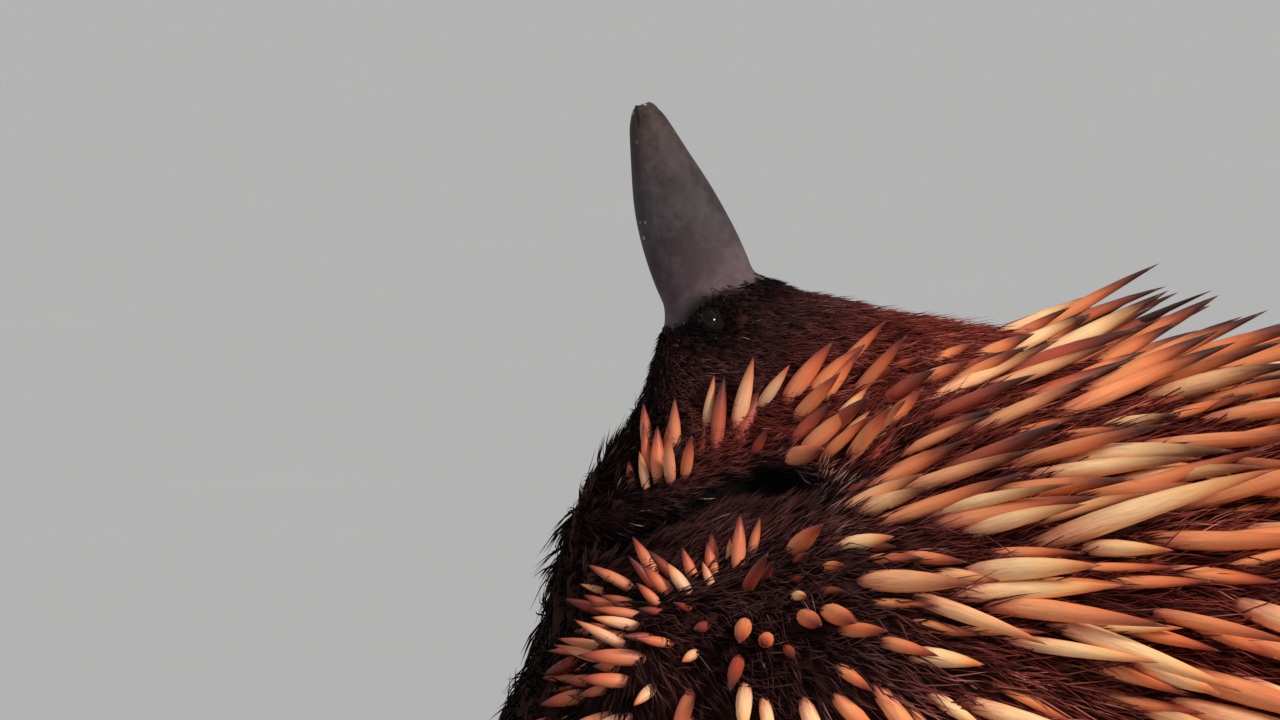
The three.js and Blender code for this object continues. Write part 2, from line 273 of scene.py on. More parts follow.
def along_tube(rings, sides):
    """How far along its tube each point is, when the rings are at these shares of the length."""
    return np.append(np.repeat(rings, sides), 1.0)


def tubes(path, across, radius, sides):
    """Points of closed tapered tubes, one along each path, whose last point is the tip."""
    tangent = unit(np.gradient(path, axis=1))[:, :-1]
    second = unit(np.cross(tangent, across[:, None]))
    first = np.cross(second, tangent)
    c, s = circle(sides)
    ring = c[:, None] * first[:, :, None] + s[:, None] * second[:, :, None]
    around = path[:, :-1, None] + radius[..., None, None] * ring
    return np.concatenate([around.reshape(len(path), -1, 3), path[:, -1:]], axis=1)


# Flesh: closed tubes that the skin is drawn over

def loft(stations, sides=36, steps=6, dome=(0, 0), square=2.0, across=(1, 0, 0)):
    """Points and faces of a closed rounded tube through the stations."""
    curve = spline(stations, np.linspace(0, 1, (len(stations) - 1) * steps + 1))
    centre, size = curve[:, :3], curve[:, 3:]
    tangent = unit(np.gradient(centre, axis=0))
    across = np.asarray(across, float)
    side = unit(across - tangent * (tangent @ across)[:, None])
    upward = np.cross(side, tangent)
    c, s = (np.sign(v) * np.abs(v) ** (2 / square) for v in circle(sides, -1))

    def ring(i, beyond, shrink):
        height = np.where(s > 0, size[i, 1], size[i, 2])
        middle = centre[i] + tangent[i] * beyond
        return middle + shrink * (c[:, None] * side[i] * size[i, 0]
                                  + (s * height)[:, None] * upward[i])

    turns = np.linspace(0.1, 1, 6)[:-1] * np.pi / 2
    rings = [ring(0, -dome[0] * math.cos(turn), math.sin(turn)) for turn in turns]
    rings += [ring(i, 0, 1) for i in range(len(curve))]
    rings += [ring(-1, dome[1] * math.cos(turn), math.sin(turn)) for turn in turns[::-1]]
    verts = np.vstack(rings)
    ends = [list(range(sides))[::-1], list(range(len(verts) - sides, len(verts)))]
    return verts, ends + ring_quads(len(rings), sides).tolist()


def heading_vector(side, degrees):
    angle = math.radians(degrees)
    return np.array([side * math.sin(angle), -math.cos(angle), 0.0])


def square_to(way):
    return np.array([-way[1], way[0], 0.0])


def foot_plan(limb):
    """The heel of a foot and the ways along and across it."""
    forward = heading_vector(limb.side, limb.heading)
    heel = np.array([limb.side * limb.heel[0], limb.heel[1] + limb.dy, 0.0])
    return heel, forward, square_to(forward)


def foot_loft(limb):
    heel, forward, across = foot_plan(limb)
    stations = []
    for share, wide, high in ((0, 0.72, 0.95), (0.35, 0.9, 1), (0.7, 1, 0.78), (0.95, 0.92, 0.58)):
        middle = limb.high * 0.4 * high
        at = heel + forward * share * limb.length
        stations.append((*at[:2], middle, limb.wide * wide, limb.high * high - middle,
                         middle + 1.0))
    return loft(stations, sides=28, dome=(8, 4), square=2.4, across=across)


def claw_path(limb, claw):
    """Middle points of a claw from its root in the toe to its tip, and the ways along and across."""
    place, spread, length, _ = claw
    heel, forward, across = foot_plan(limb)
    heading = heading_vector(limb.side, limb.heading + spread)
    edge = (heel + forward * (limb.length + TOE_REACH - TOE_ARC * place ** 2)
            + across * limb.side * place * limb.claw_row)
    shares = np.linspace(-CLAW_ROOT / length, CLAW_END, 15)
    path = edge + heading * (shares * length)[:, None]
    path[:, 2] = CLAW_HEIGHT - np.maximum(shares, 0) ** 2 * CLAW_DROP
    return path, shares, heading, square_to(heading)


def toe_loft(limb, claw):
    """A toe swells round the root of its claw."""
    path, _, heading, across = claw_path(limb, claw)
    wide = claw[3]
    tip = path[0] + heading * (CLAW_ROOT - 0.6)
    stations = []
    for back, bulk in ((13, 1.25), (6, 1.35), (1.5, 1.2), (0, 1.0)):
        at = tip - heading * back
        lift = 0.5 + 0.12 * back
        stations.append((*at[:2], 5.4 + 0.3 * lift, (wide + 1.3) * bulk, 3.4 * bulk + lift, 5.4))
    return loft(stations, sides=16, steps=3, dome=(3, 1.6), across=across)


def leg_loft(limb):
    last = len(limb.leg) - 1
    stations = [(limb.side * s[0], s[1] + limb.dy * i / last, *s[2:])
                for i, s in enumerate(limb.leg)]
    return loft(stations, sides=28, dome=(8, 6))


def beak_loft():
    rows = [(*(BEAK_BASE - BEAK_AXIS * 8), BEAK[0][1], BEAK[0][3], BEAK[0][2])]
    for share, wide, up, down in BEAK:
        at = BEAK_BASE + BEAK_ALONG * share + BEAK_VENTRAL * BEAK_SAG * math.sin(math.pi * share)
        rows.append((*at, wide, down, up))
    return loft(rows, dome=(0, BEAK_DOME))


def flesh():
    trunk = []
    for y, wide, top, bottom in TRUNK:
        middle = bottom + WIDEST * (top - bottom)
        trunk.append((0, y, middle, wide, top - middle, middle - bottom))
    parts = [
        loft(trunk, sides=56, steps=4, dome=(3, 4), square=2.15),
        loft(HEAD, sides=48, dome=(3, 8)),
        loft(NAPE, sides=48, dome=(10, 8)),
        loft(TAIL, dome=(6, 5)),
        beak_loft(),
    ]
    for limb in LIMBS:
        parts.append(leg_loft(limb))
        if limb.name == "fore":
            bulge = [(limb.side * s[0], *s[1:]) for s in SHOULDER]
            parts.append(loft(bulge, sides=28, steps=2, dome=(18, 18), across=(0, 0, 1)))
        parts.append(foot_loft(limb))
        parts += [toe_loft(limb, claw) for claw in limb.claws]
    faces, start = [], 0
    for points, polygons in parts:
        faces += [[i + start for i in face] for face in polygons]
        start += len(points)
    return np.vstack([points for points, _ in parts]), faces


# Skin

def remeshed(verts, faces):
    """One closed skin round all the overlapping tubes."""
    mesh = bpy.data.meshes.new("flesh")
    mesh.from_pydata((verts * MM).tolist(), [], faces)
    obj = new_object("flesh", mesh)
    remesh = obj.modifiers.new("remesh", "REMESH")
    remesh.mode = "VOXEL"
    remesh.voxel_size = VOXEL * MM
    evaluated = obj.evaluated_get(bpy.context.evaluated_depsgraph_get())
    bm = bmesh.new()
    bm.from_mesh(evaluated.to_mesh())
    bpy.data.objects.remove(obj)
    return bm


def points_of(bm):
    return np.array([v.co[:] for v in bm.verts]) / MM


def set_points(bm, p):
    for v, co in zip(bm.verts, p * MM):
        v.co = co


def normals_of(bm):
    bm.normal_update()
    return np.array([v.normal[:] for v in bm.verts])


def smoothed(bm, p, strength, rounds):
    """Evens out the skin. strength may be each point's own share."""
    edges = np.array([(e.verts[0].index, e.verts[1].index) for e in bm.edges])
    ends = np.concatenate([edges, edges[:, ::-1]])
    count = np.bincount(ends[:, 0], minlength=len(p))[:, None]
    for _ in range(rounds):
        total = np.stack([np.bincount(ends[:, 0], p[ends[:, 1], k], len(p)) for k in range(3)], -1)
        p = mixed(p, total / count, strength)
    return p


def refine(bm, wanted):
    """Splits the faces whose middle is wanted."""
    middles = np.array([f.calc_center_median()[:] for f in bm.faces]) / MM
    edges = {e for f, keep in zip(bm.faces, wanted(middles)) if keep for e in f.edges}
    bmesh.ops.subdivide_edges(bm, edges=list(edges), cuts=1, use_grid_fill=True)
    bmesh.ops.triangulate(bm, faces=[f for f in bm.faces if len(f.verts) > 4])
    bm.verts.index_update()
    bm.faces.ensure_lookup_table()


def beak_place(p):
    """How far along the beak points are, as a share, and how far from its axis."""
    v = p - BEAK_BASE
    share = v @ BEAK_AXIS / BEAK_LENGTH
    sag = BEAK_SAG * np.sin(np.pi * np.clip(share, 0, 1))
    return share, v - share[:, None] * BEAK_ALONG - sag[:, None] * BEAK_VENTRAL


def past_fur(p):
    """How far points lie beyond the edge of the fur on the beak, as a share of its length."""
    share, off = beak_place(p)
    return share + BARE_BELOW * ease(off @ BEAK_VENTRAL, -1.6, 6.4)


def on_beak(p):
    """Points near the beak brought onto its exact surface."""
    share, off = beak_place(p)
    end = BEAK[-1][0] * BEAK_LENGTH + BEAK_DOME
    beyond = share * BEAK_LENGTH - (end - BEAK_ROUNDED)
    table = spline(BEAK, np.linspace(0, 1, 60))
    wide, above, below = (np.interp(share, table[:, 0], table[:, k]) for k in (1, 2, 3))
    down = off @ BEAK_VENTRAL
    length = np.hypot(off[:, 0] / wide, down / np.where(down > 0, below, above))
    length = np.maximum(length, 1e-6)
    dome = np.clip(1 - (np.clip(beyond, 0, None) / BEAK_ROUNDED) ** 2.4, 0.0004, 1) ** 0.5
    moved = p + off * (dome / length - 1)[:, None]
    near = (length < 1.7) & (beyond < BEAK_ROUNDED)
    return mixed(p, moved, (ease(share, 0.02, 0.14) * near)[:, None])


def eye_frame(side):
    """Middle of an eye, the way it looks, and the long and short way of its opening."""
    flip = np.array([side, 1, 1])
    look = unit(EYE_AXIS * flip)
    along = unit(BEAK_AXIS - look * (BEAK_AXIS @ look))
    return EYE_AT * flip, look, along, np.cross(look, along)


def with_lids(p):
    """Skin raised to lids round the eyes, and sunk behind the openings between them."""
    for _, side in SIDES:
        middle, look, along, over = eye_frame(side)
        v = p - middle
        high, a, b = v @ look, v @ along, v @ over
        radius = np.hypot(a, b)
        opening = np.maximum(np.hypot(a / EYE_OPENING[0], b / EYE_OPENING[1]), 1e-6)
        ball = np.sqrt(np.clip(EYE_RADIUS ** 2 - radius ** 2, 0, None))
        roll = ease(opening, LID_RIM, 1.2) * fade(radius, 3.2, LID_REACH)
        lid = np.maximum(ball + LID_THICKNESS * roll, high * 0.6)
        lid = mixed(high, lid, fade(radius, 3.0, LID_REACH))
        rim = (opening > 0.8) & (opening < LID_RIM)
        target = np.where(opening < LID_RIM, ball - np.where(rim, 0.35, 1.3), lid)
        spread = np.where(rim, LID_RIM / opening, 1.0)
        moved = (middle + look * target[:, None] + along * (a * spread)[:, None]
                 + over * (b * spread)[:, None])
        near = (high > -1) & (radius < LID_REACH)
        p = np.where(near[:, None], moved, p)
    return p


def slit_distance(p):
    """Distance in side view from the slit of the ear, signed above and below it, and the place
    along it as a share."""
    line = spline([(y, z, 0) for y, z in SLIT], np.linspace(0, 1, SLIT_POINTS))[:, :2]
    gap = p[:, None, 1:3] - line[None]
    nearest = np.argmin((gap ** 2).sum(-1), axis=1)
    offset = gap[np.arange(len(p)), nearest]
    distance = np.linalg.norm(offset, axis=1)
    return np.where(offset[:, 1] > 0, distance, -distance), nearest / (SLIT_POINTS - 1)


def beside_slit(p, reach):
    """1 at the slit of the ear, falling off over the reach."""
    return hill(slit_distance(p)[0], reach) * on_side(p)


def with_folds(p, normals):
    """The ear slit and the soft folds of the throat, pressed into the skin."""
    out, y, z = on_left(p).T
    reach = (out > SLIT_SIDE) & (np.abs(z - 122) < 40) & (y < 50)
    distance = np.full(len(p), 99.0)
    along = np.zeros(len(p))
    distance[reach], along[reach] = slit_distance(p[reach])
    # The slit is closed in front and half closed behind
    ends = ease(along, -0.05, 0.16) * (1 - 0.5 * ease(along, 0.9, 1.0))
    groove = hill(distance, SLIT_HALF_WIDTH) * ends
    lip = hill(distance - 4.6, 2.4) * ends
    depth = SLIT_DEPTH * groove - 1.6 * lip
    throat = ease(-y, 8, 24) * ease(z, 72, 92) * fade(z, 128, 142)
    folds = 0.8 * throat * np.sin(z * 0.55 + 0.02 * out ** 2)
    return p - normals * (depth + folds)[:, None], groove


def with_mouth(p, normals):
    """The short slit of the mouth under the tip of the beak, and the two nostrils over it."""
    share, off = beak_place(p)
    down = off @ BEAK_VENTRAL
    lips = hill(down - 1.3 + 2.2 * (share - 1), 0.3) * ease(share, 0.88, 0.93)
    nostril = np.zeros(len(p))
    for _, side in SIDES:
        a = (share * BEAK_LENGTH - NOSTRIL_AT * BEAK_LENGTH) / 1.5
        b = (off[:, 0] - side * (1.55 + 0.2 * a)) / 0.55
        nostril += np.exp(-(a ** 2 + b ** 2)) * (down < 0)
    depth = 0.2 * lips + 0.8 * nostril
    return p - normals * depth[:, None], np.clip(lips + nostril, 0, 1)


def on_side(p):
    """Points on the sides of the head, where the slit of the ear is."""
    return np.abs(p[:, 0]) > SLIT_SIDE


def from_eye(p):
    return np.linalg.norm(on_left(p) - EYE_AT, axis=1)


def from_beak_base(p):
    return np.linalg.norm(p - BEAK_BASE, axis=1)


def build_skin():
    bm = remeshed(*flesh())
    p = points_of(bm)
    soft = 0.5 * fade(beak_place(p)[0], -0.02, 0.05) * ease(p[:, 2], 12, 26)
    p = smoothed(bm, p, soft[:, None], 14)
    p = smoothed(bm, p, 0.35, 2)
    set_points(bm, p)
    for rounds, wanted in (
        (3, lambda q: (from_beak_base(q) < 36) | (beak_place(q)[0] > 0)
            | ((np.abs(slit_distance(q)[0]) < 11) & on_side(q))),
        (2, lambda q: (beak_place(q)[0] > -0.1) | (from_eye(q) < 10)),
        (2, lambda q: (beak_place(q)[0] > 0.74) | (from_eye(q) < 7)),
    ):
        refine(bm, wanted)
        p = smoothed(bm, points_of(bm), EVENING, rounds)
        set_points(bm, p)
    p = on_beak(p)
    set_points(bm, p)
    p, groove = with_folds(p, normals_of(bm))
    p = with_lids(p)
    set_points(bm, p)
    p, mouth = with_mouth(p, normals_of(bm))
    p[:, 2] = np.maximum(p[:, 2], 0.0)
    set_points(bm, p)
    bmesh.ops.triangulate(bm, faces=bm.faces[:])
    normals = normals_of(bm)
    tris = np.array([[v.index for v in f.verts] for f in bm.faces])
    bm.free()
    return p, normals, tris, groove, mouth


# Regions of the skin

HEAD_ROLL = 62  # on the bake map the head is rolled flat within this distance of the beak's base
LEG_ROLL = 33  # and the legs are below this height


def height_share(p):
    """0 on the belly line and 1 on the back line of the trunk."""
    y, _, top, bottom = np.array(TRUNK).T
    low = np.interp(p[:, 1], y, bottom)
    return (p[:, 2] - low) / (np.interp(p[:, 1], y, top) - low)


def leg_share(p):
    return fade(p[:, 2], 28, 44)


def foot_share(p):
    return fade(p[:, 2], 12, 24)


def fur_line(p):
    """How far below the edge of the spines a point lies on the head, in side view."""
    edge = np.interp(p[:, 1], (-10, 6, 12, 20, 27, 40, 58, 70), (139, 144, 147, 151, 154, 157, 160, 190))
    return edge - p[:, 2]


def toe_direction(p):
    """The way the toes point on the nearest foot."""
    plans = [foot_plan(limb) for limb in LIMBS]
    middles = [heel + forward * limb.length / 2 for limb, (heel, forward, _) in zip(LIMBS, plans)]
    gap = np.linalg.norm((p[:, None] - np.array(middles))[..., :2], axis=2)
    return np.array([forward for _, forward, _ in plans])[gap.argmin(1)]


def in_side_view(turn):
    """Ways in side view, at angles up from straight back."""
    return np.stack([0 * turn, np.cos(turn), np.sin(turn)], -1)


def spine_field(p):
    """The way the spines lie in side view, and their length."""
    table = np.array(SPINE_FIELD, float)
    gap = p[:, None, 1:3] - table[None, :, :2]
    weight = 1 / ((gap ** 2).sum(-1) + FIELD_BLUR) ** 2
    lie = unit(weight @ in_side_view(np.radians(table[:, 2])))
    lie = lie + RUMP_DROOP * ease(p[:, 1], 195, 228)[:, None]
    return lie, weight @ table[:, 3] / weight.sum(1)


def laid(ways, normals):
    """Ways pressed onto the skin."""
    return unit(ways - dot(ways, normals) * normals)


def at_whorl(p, reach=WHORL_REACH):
    return hill(np.linalg.norm(on_left(p) - WHORL, axis=1), reach)


def fur_lie(p, normals):
    """The way the fur lies: away from the beak, back over the body and down the legs."""
    out, y, z = on_left(p).T
    face = 0.7 * unit(p - (BEAK_BASE + BEAK_AXIS * 6)) + np.array([0.0, 1.2, 0.2])
    head = fade(fur_line(p), -2, 16) * fade(y, 50, 75)
    throat = ease(-y, 0, 18) * fade(out, 34, 50) * ease(z, 50, 70)
    head = np.maximum(head, throat)
    belly = fade(height_share(p), 0.1, 0.3)
    lie = laid(spine_field(p)[0], normals)
    for way, share in (
        (face, head),
        ((0.0, 1.0, -0.3), belly * (1 - head)),
        ((0.0, 0.25, -1.0), leg_share(p)),
        ((0.0, 0.85, -0.5), at_whorl(p, 38)),
        ((0.0, 0.95, 0.32), beside_slit(p, 9)),
        (toe_direction(p), fade(z, 8, 27)),
    ):
        lie = mixed(lie, np.array(way), share[:, None])
    return laid(lie, normals)


def unwrapped(p):
    """Where points lie on an unwrap of the skin: the trunk, the head and each leg rolled flat."""
    x, y, z = p.T
    u = 0.5 + 0.96 * np.arctan2(x, z - 85) / (2 * np.pi)
    v = 0.02 + 0.56 * (y + 60) / 320
    distance = from_beak_base(p)
    head = distance < HEAD_ROLL
    u = np.where(head, 0.32 + 0.6 * np.arctan2(x, -y) / (2 * np.pi), u)
    v = np.where(head, 0.62 + 0.36 * distance / HEAD_ROLL, v)
    for limb in LIMBS:
        column = 0.66 if limb.side > 0 else 0.83
        row = 0.62 if limb.name == "fore" else 0.81
        dx = x - limb.side * limb.leg[2][0]
        dy = y - (limb.leg[2][1] + limb.dy)
        mine = (z < LEG_ROLL) & (np.hypot(dx, dy) < 60) & ~head
        u = np.where(mine, column + 0.07 + 0.14 * np.arctan2(dx, dy) / (2 * np.pi), u)
        v = np.where(mine, row + 0.15 * z / LEG_ROLL, v)
    return np.stack([u, v], -1).clip(0.003, 0.997)


# Strands over the skin

TRIES = 3  # random places tried for each root that is wanted
PATCH = 0.003  # height of a strand's own patch of the bake map


def scatter(skin, density, spacing_share):
    """Roots spread evenly over the skin. density gives roots for each square millimetre."""
    p, normals, tris = skin
    corner = p[tris]
    edges = corner[:, 1:] - corner[:, :1]
    area = np.linalg.norm(np.cross(edges[:, 0], edges[:, 1]), axis=1) / 2
    wanted = density(corner.mean(1), unit(normals[tris].mean(1)))
    weight = area * wanted
    count = int(weight.sum() * TRIES)
    chosen = rng.choice(len(tris), count, p=weight / weight.sum())
    a, b = rng.random(count), rng.random(count)
    flip = a + b > 1
    a, b = np.where(flip, 1 - a, a), np.where(flip, 1 - b, b)
    share = np.stack([1 - a - b, a, b], -1)[..., None]
    roots = (corner[chosen] * share).sum(1)
    root_normals = unit((normals[tris[chosen]] * share).sum(1))
    reach = spacing_share / np.sqrt(wanted[chosen])
    tree = KDTree(count)
    for i, co in enumerate(roots):
        tree.insert(co, i)
    tree.balance()
    alive = np.ones(count, bool)
    for i in range(count):
        if alive[i]:
            for _, j, _ in tree.find_range(roots[i], reach[i]):
                if j > i:
                    alive[j] = False
    return roots[alive], root_normals[alive]


def build_strands(names, group, roots, verts, rings, sides, u, layers, material, slot):
    """One piece for each name, of the strands in its group. u is where each point lies across its
    strand's patch of the bake map. A layer holds a number for each strand, or more for each point."""
    along = along_tube(rings, sides)
    v = along - 0.5
    patch = unwrapped(roots)[:, None] + PATCH * np.stack(np.broadcast_arrays(u, v), -1)
    layers["along"] = np.tile(along, (len(roots), 1))
    faces, size = tube_faces(len(rings), sides), len(along)
    for k, name in enumerate(names):
        mine = group == k
        shifts = size * np.arange(mine.sum())[:, None, None]
        tris = (faces[None] + shifts).reshape(-1, 3)
        obj = mesh_object(name, verts[mine].reshape(-1, 3), tris)
        for key, values in layers.items():
            values = values[mine]
            add_layer(obj, key, np.repeat(values, size) if values.ndim == 1 else values)
        uv = patch[mine].reshape(-1, 2).astype(np.float32)
        obj.data.uv_layers.new(name="OFBake").data.foreach_set("uv", uv[tris.ravel()].ravel())
        finish_piece(obj, material, slot)


# Spines

SPINE_SIDES = 10
SPINE_SPACING = 0.72  # least gap between roots, as a share of their mean gap
SPINE_RINGS = (0, 0.05, 0.13, 0.26, 0.42, 0.6, 0.77, 0.91)
HEAD_SWELL = np.array([0.4, 0.55, 0.77, 0.95, 1.0, 0.88, 0.6, 0.27])
BODY_SWELL = np.array([0.6, 0.78, 0.93, 1.0, 0.97, 0.8, 0.54, 0.25])
SPINE_SINK = 1.5
SPINE_SWING = 0.13  # scatter of the way spines lie, in side view
SPINE_SPLAY = 0.1  # scatter of the way they lean out to the side
UNDER_SPINES = 0.27  # share of short, thin and dark ones between the others
MOST_LEAN = 32  # degrees that spines lean out from side view, save at the whorl
LEAST_LIFT = 14  # degrees that they always stand off the skin
BLACK_TONE = 0.965  # spines whose tone is over this are black all along


def spine_zone(p):
    """Where spines grow: the back, the flanks and the sides of the head, away from the ear slit."""
    out, y, z = on_left(p).T
    distance, _ = slit_distance(p)
    bare = np.interp(y, (-25, -15, -5, 15, 24, 31), (7, 9, 10, 13, 8, 1))
    off_slit = np.where(distance > 0, ease(distance, 3, 5), ease(-distance, bare, bare + 3))
    off_slit = np.where(out > 12, off_slit, 1)
    throat_edge = np.interp(y, (-60, -30, -12, 0, 30), (60, 42, 17, 8, 0))
    off_throat = np.where(y > 30, 1, ease(out, throat_edge, throat_edge + 5))
    off_belly = ease(height_share(p), 0.17, 0.24)
    return ease(fur_line(p), 0, 3) * off_slit * off_throat * off_belly * ease(z, 44, 50)


def spine_length(p):
    """Short on the head, longer over the shoulder, longest on the back and flanks."""
    return mixed(spine_field(p)[1], 27.0, ease(p[:, 1], 195, 235))


def spine_density(p, normals):
    spacing = np.interp(spine_length(p), (11, 17, 30, 54), (3.5, 4.7, 7.0, 8.7))
    sparse = 1 - 0.3 * at_whorl(p, 24) - 0.35 * fade(p[:, 1], -4, 14) * (p[:, 2] < 116)
    return spine_zone(p) * sparse / spacing ** 2 + 1e-9


def spine_ways(roots, normals, lift):
    """Directions that keep the lie in side view and stand off the skin by the given angle."""
    count = len(roots)
    lie, _ = spine_field(roots)
    swing = SPINE_SWING * np.interp(spine_length(roots), (14, 30), (1.6, 1))
    swing *= 1 - 0.6 * ease(height_share(roots), 0.85, 1)
    turn = np.arctan2(lie[:, 2], lie[:, 1]) + rng.normal(0, 1, count).clip(-1.5, 1.5) * swing
    flat = in_side_view(turn)
    rise = dot(flat, normals)[:, 0]
    outward = np.abs(normals[:, 0])
    reach = np.maximum(np.hypot(rise, outward), 1e-3)
    lean = np.arctan2(outward, rise) - np.arccos(np.clip(np.sin(lift) / reach, -1, 1))
    most = np.radians(mixed(MOST_LEAN, 90, at_whorl(roots)))
    lean = np.clip(lean, 0, most) + rng.normal(0, SPINE_SPLAY, count)
    way = np.cos(lean)[:, None] * flat
    way[:, 0] += np.sin(lean) * np.where(roots[:, 0] < 0, -1.0, 1.0)
    missing = math.sin(math.radians(LEAST_LIFT)) - dot(way, normals)
    return unit(way + np.maximum(missing, 0) * normals)


def spine_sizes(roots):
    """Length, half width and tone of each spine. A high tone is a dark spine."""
    count = len(roots)
    typical = spine_length(roots)
    length = typical * rng.beta(2.8, 1.3, count).clip(0.4, 0.88) * 1.27
    tone = rng.random(count)
    thick = rng.uniform(0.66, 1.1, count)
    under = rng.random(count) < UNDER_SPINES * np.interp(typical, (14, 30), (0.35, 1))
    length = np.maximum(np.where(under, 0.55 * typical, length), 7)
    on_back = ease(height_share(roots), 0.84, 1) * (typical > 28)
    low = fade(height_share(roots), 0.6, 0.95)
    # On the lower flank the tone is pulled down towards pale cream: painted light, as the lamps reach
    # the lower flank less
    tone = mixed((0.84 - 0.22 * low) * tone, 0.33 + 0.67 * tone, on_back)
    tone = np.where(under, 0.72 - 0.12 * low + 0.2 * tone, tone)
    thick = np.where(under, 0.75 * thick, thick)
    thick = np.where(tone > BLACK_TONE, 0.6 * thick, thick)
    thick *= np.interp(length, (7, 12, 18, 30, 54), (1.15, 1.6, 1.9, 2.15, 2.65))
    return length, thick * (1 - 0.12 * on_back), tone


def spine_paths(roots, normals, length):
    count = len(roots)
    lift = np.interp(spine_length(roots), (12, 18, 30, 54), (35, 31, 26, 20))
    lift = mixed(lift, 76, at_whorl(roots)) + rng.normal(0, 6, count)
    aim = spine_ways(roots, normals, np.radians(lift))
    bend = rng.normal(0.12, 0.09, count)
    steps = np.append(SPINE_RINGS, 1.0)
    way = unit(aim[:, None] + (bend[:, None] * (0.5 - steps))[..., None] * normals[:, None])
    gaps = np.diff(steps)[None, :, None] * (way[:, 1:] + way[:, :-1]) / 2
    run = np.concatenate([np.zeros((count, 1, 3)), np.cumsum(gaps, axis=1)], axis=1)
    start = roots - normals * SPINE_SINK
    return start[:, None] + run * length[:, None, None], unit(np.cross(normals, aim))


def build_spines(skin, material):
    roots, normals = scatter(skin, spine_density, SPINE_SPACING)
    count = len(roots)
    length, thick, tone = spine_sizes(roots)
    path, across = spine_paths(roots, normals, length)
    head = fade(spine_length(roots), 14, 34)
    radius = thick[:, None] * mixed(BODY_SWELL, HEAD_SWELL, head[:, None])
    c, s = (np.append(np.tile(v, len(SPINE_RINGS)), 0.0) for v in circle(SPINE_SIDES))
    out = np.hstack([np.repeat(radius, SPINE_SIDES, axis=1), np.zeros((count, 1))])
    along = along_tube(SPINE_RINGS, SPINE_SIDES)
    grain = np.stack([c * out, s * out, along * length[:, None] * 0.1], -1)
    layers = {
        "tone": tone,
        "head": head,
        # Used to darken the spines at the whorl as painted shade
        "whorl": at_whorl(roots, 26),
        "back": ease(height_share(roots), 0.7, 0.98) * (1 - head),
        # Used to darken the spines on the front of the head as painted shade
        "face": head * fade(roots[:, 1], 12, 26),
        "grain": grain + rng.uniform(0, 100, (count, 3))[:, None],
    }
    build_strands(("spines_one", "spines_two"), rng.permutation(count) % 2, roots,
                  tubes(path, across, radius, SPINE_SIDES), SPINE_RINGS, SPINE_SIDES, c / 2,
                  layers, material, "spines")


# Fur

STRANDS = 5  # hairs in a tuft
HAIR_SIDES = 3
LONG_HAIR = 14.0  # tufts longer than this have one ring more
FUR_SPACING = 0.62
HAIR_SINK = 0.4
PALE_TONE = 1.1  # hairs with this tone are pale bristles
# Rings along a hair, its width at each, and how many pieces the hairs of this kind fill
HAIR_SHAPES = {
    "short": ((0, 0.5), (1.0, 0.78), 7),
    "long": ((0, 0.34, 0.7), (1.0, 0.85, 0.5), 4),
}


def fur_zone(p, normals):
    off_beak = fade(past_fur(p), 0.0, 0.045)
    off_eye = np.ones(len(p))
    for _, side in SIDES:
        middle, look, along, over = eye_frame(side)
        v = p - middle
        opening = np.hypot(v @ along / (EYE_OPENING[0] + 0.4), v @ over / (EYE_OPENING[1] + 0.4))
        off_eye *= np.where(np.linalg.norm(v, axis=1) < 9, ease(opening, 1.0, 1.15), 1)
    sole = (p[:, 2] < 5) & (normals[:, 2] < -0.35)
    distance, along = slit_distance(p)
    half = np.interp(along, (0.5, 0.66, 0.8, 0.92, 1), (0, 2.2, 3.4, 3.2, 1.7))
    in_slit = (np.abs(distance + 0.3) < half) & on_side(p)
    return off_beak * off_eye * ~sole * np.where(in_slit, 0.03, 1)


def fur_density(p, normals):
    body = np.interp(from_beak_base(p), (8, 22, 45, 70, 95), (1.3, 0.85, 0.45, 0.2, 0.097))
    body = mixed(body, 0.115, leg_share(p))
    body = mixed(body, 0.3, foot_share(p))
    return fur_zone(p, normals) * body * (1 + 0.9 * at_whorl(p, 15)) + 1e-9


def fur_length(p):
    distance = from_beak_base(p)
    length = np.interp(distance, (8, 14, 25, 45, 70, 95), (2.0, 3.0, 6.0, 9.0, 12, 15.5))
    belly = fade(height_share(p), 0.05, 0.25) * ease(distance, 60, 90)
    for wanted, share, only_shorter in (
        (10, ease(-p[:, 1], 5, 20), True),
        (13, belly, False),
        (8.5, leg_share(p), False),
        (5, beside_slit(p, 8), True),
        (7, at_whorl(p, 28), True),
        (3.4, fade(p[:, 2], 10, 46), False),
    ):
        length = mixed(length, np.minimum(length, wanted) if only_shorter else wanted, share)
    return length


def fur_width(p):
    width = np.interp(from_beak_base(p), (8, 25, 60, 95), (0.1, 0.135, 0.195, 0.28))
    return mixed(width, 0.2, foot_share(p))


def dark_and_shaded_fur(p):
    """How dark the fur is: black round the eye and on the throat, partly dark fur and partly painted
    shade; painted shade under the ear slit and on the whorl; and dull on the forehead.
    """
    distance = from_eye(p)
    # Near-black round the eye: dark fur, with painted shade round the sunken eye
    eye = 1 - 0.4 * ease(distance, 7, 12) - 0.6 * ease(distance, 12, 26)
    distance = from_beak_base(p)
    forehead = 1 - 0.5 * ease(distance, 12, 19) - 0.5 * ease(distance, 19, 44)
    # The throat: dark fur, darkened further as painted shade under the head
    throat = 0.85 * ease(-p[:, 1], -2, 14) * ease(p[:, 2], 55, 80)
    # Below the ear slit a band of painted shade, and along the slit a near-black line of fur painted
    # where the slit lies in shadow
    distance, _ = slit_distance(p)
    ear = np.maximum(0.72 * hill(distance + 4, 10), 1.05 * hill(distance, 3.6))
    ear = ear * on_side(p)
    # At the whorl, painted shade, since it faces forward and down
    return np.max([eye, forehead, throat, ear, 0.78 * at_whorl(p, 36)], axis=0)


